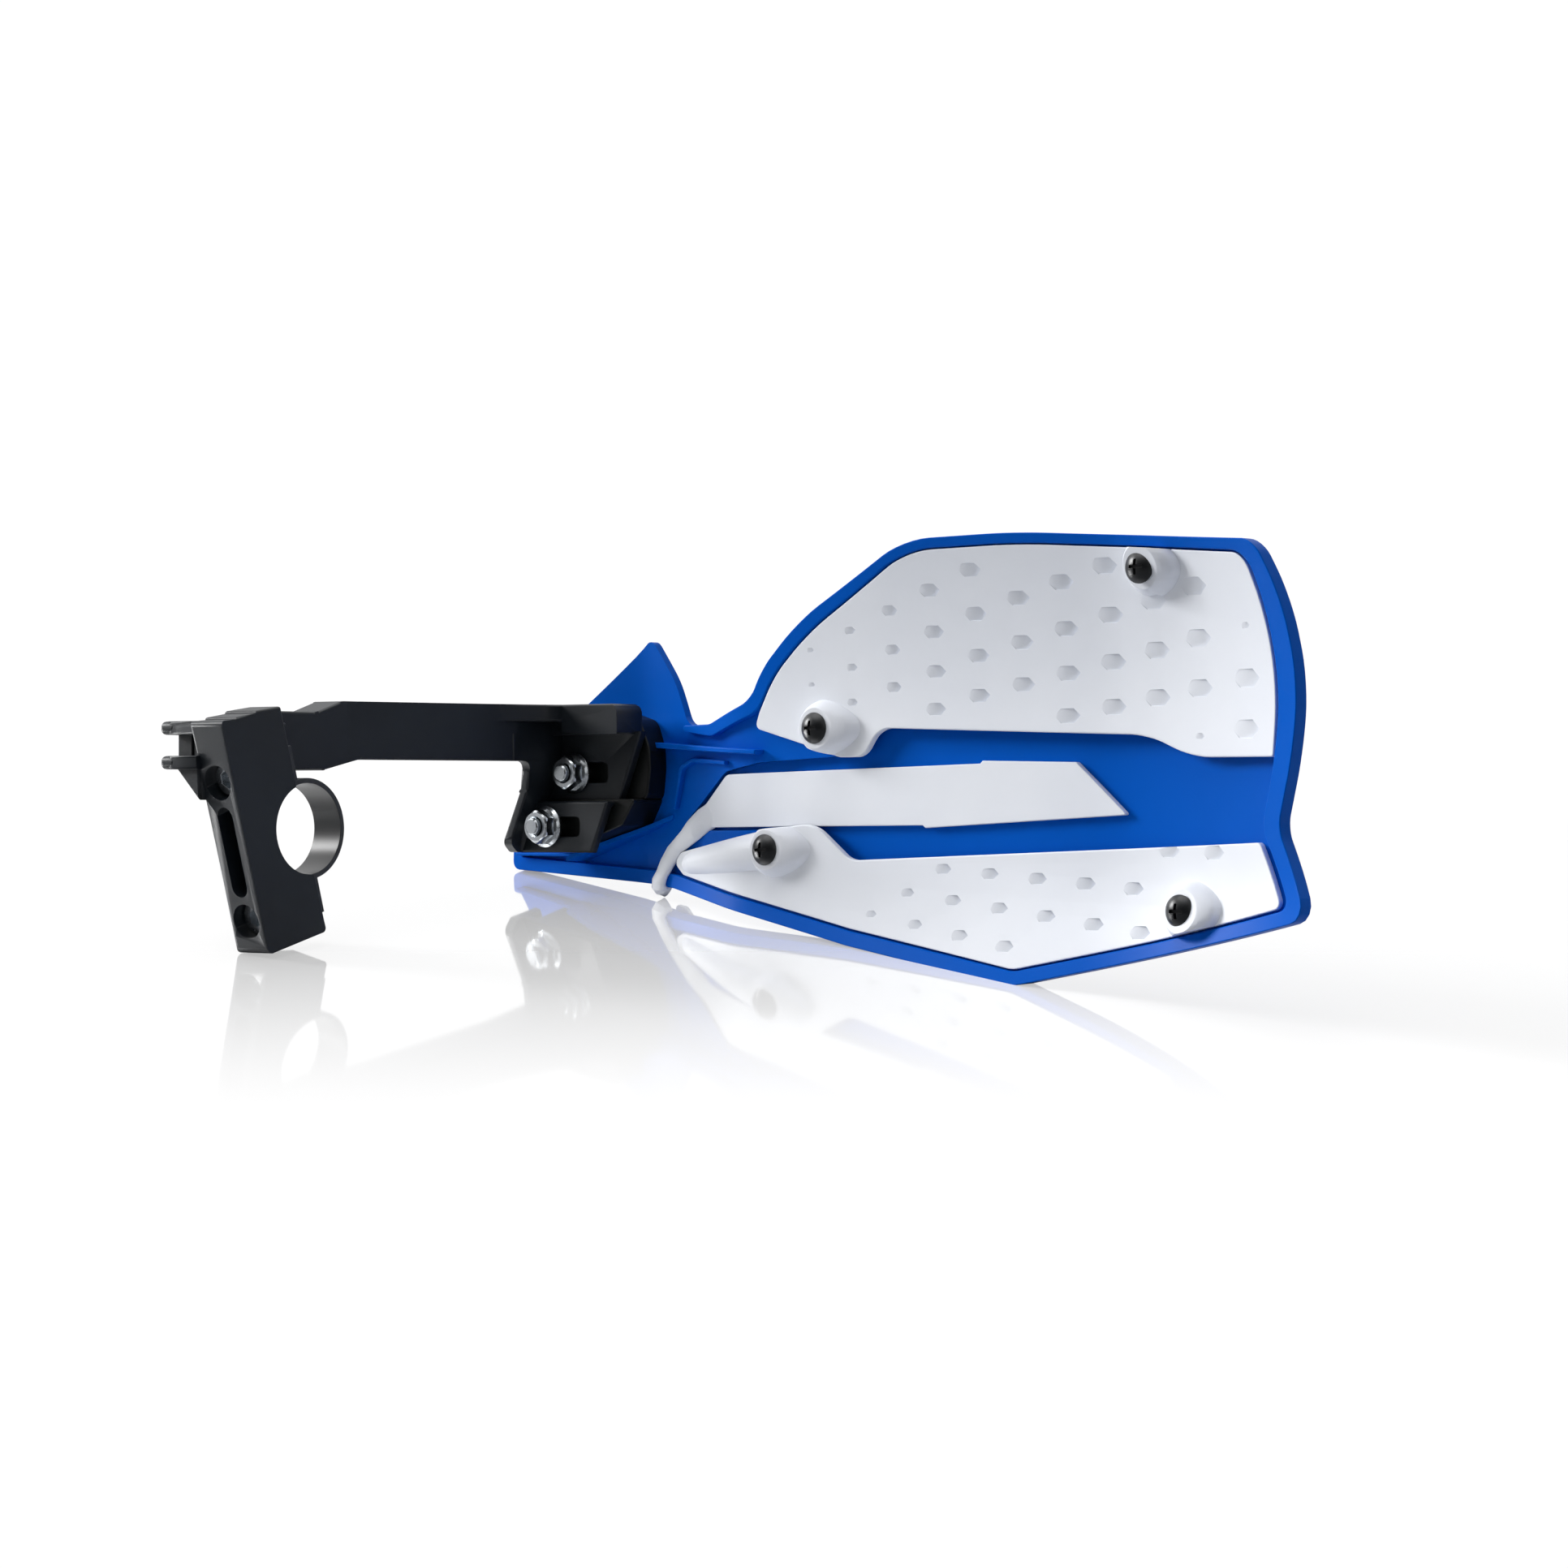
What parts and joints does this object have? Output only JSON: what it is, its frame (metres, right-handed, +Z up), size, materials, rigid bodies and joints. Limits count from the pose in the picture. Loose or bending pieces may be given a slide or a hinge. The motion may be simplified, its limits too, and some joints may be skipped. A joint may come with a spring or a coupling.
{
  "type": "motorcycle hand guard",
  "caption": "Right-hand motorcycle hand guard: a curved two-tone plastic shield with dimpled inner panels on a black arm that clamps to the handlebar.",
  "frame": {"origin": "centre of the clamp bore, on the handlebar's axis and at the middle of the clamp's width", "axes": "+X outward along the handlebar towards its end, +Y forward along the arm, +Z up"},
  "size_m": [0.3441, 0.1773, 0.1373],
  "materials": {
    "black_nylon": "black moulded nylon, fine satin grain",
    "black_spacer": "black moulded nylon, satin",
    "black_strap": "black coated steel strap, satin",
    "blue_shell": "blue moulded plastic, soft sheen",
    "white_panel": "white moulded plastic, satin",
    "white_trim": "white moulded plastic, satin",
    "zinc_bolt": "bright zinc plated steel",
    "zinc_nut": "bright zinc plated steel",
    "black_screw": "black oxide screw, satin"
  },
  "bodies": {
    "root": {"mount_arm": "black_nylon", "clamp_strap": "black_strap", "clamp_bolt_upper": "zinc_bolt", "clamp_bolt_lower": "zinc_bolt", "clamp_nut_upper": "zinc_nut", "clamp_nut_lower": "zinc_nut", "spacer_block": "black_spacer", "shield_shell": "blue_shell", "upper_panel": "white_panel", "lower_panel": "white_panel", "trim_blade": "white_trim", "shield_bolt_upper": "zinc_bolt", "shield_bolt_lower": "zinc_bolt", "shield_washer_upper": "zinc_nut", "shield_washer_lower": "zinc_nut", "flange_nut_upper": "zinc_nut", "flange_nut_lower": "zinc_nut", "panel_screw_upper_inner": "black_screw", "panel_screw_upper_outer": "black_screw", "panel_screw_lower_inner": "black_screw", "panel_screw_lower_outer": "black_screw"}
  },
  "joints": []
}
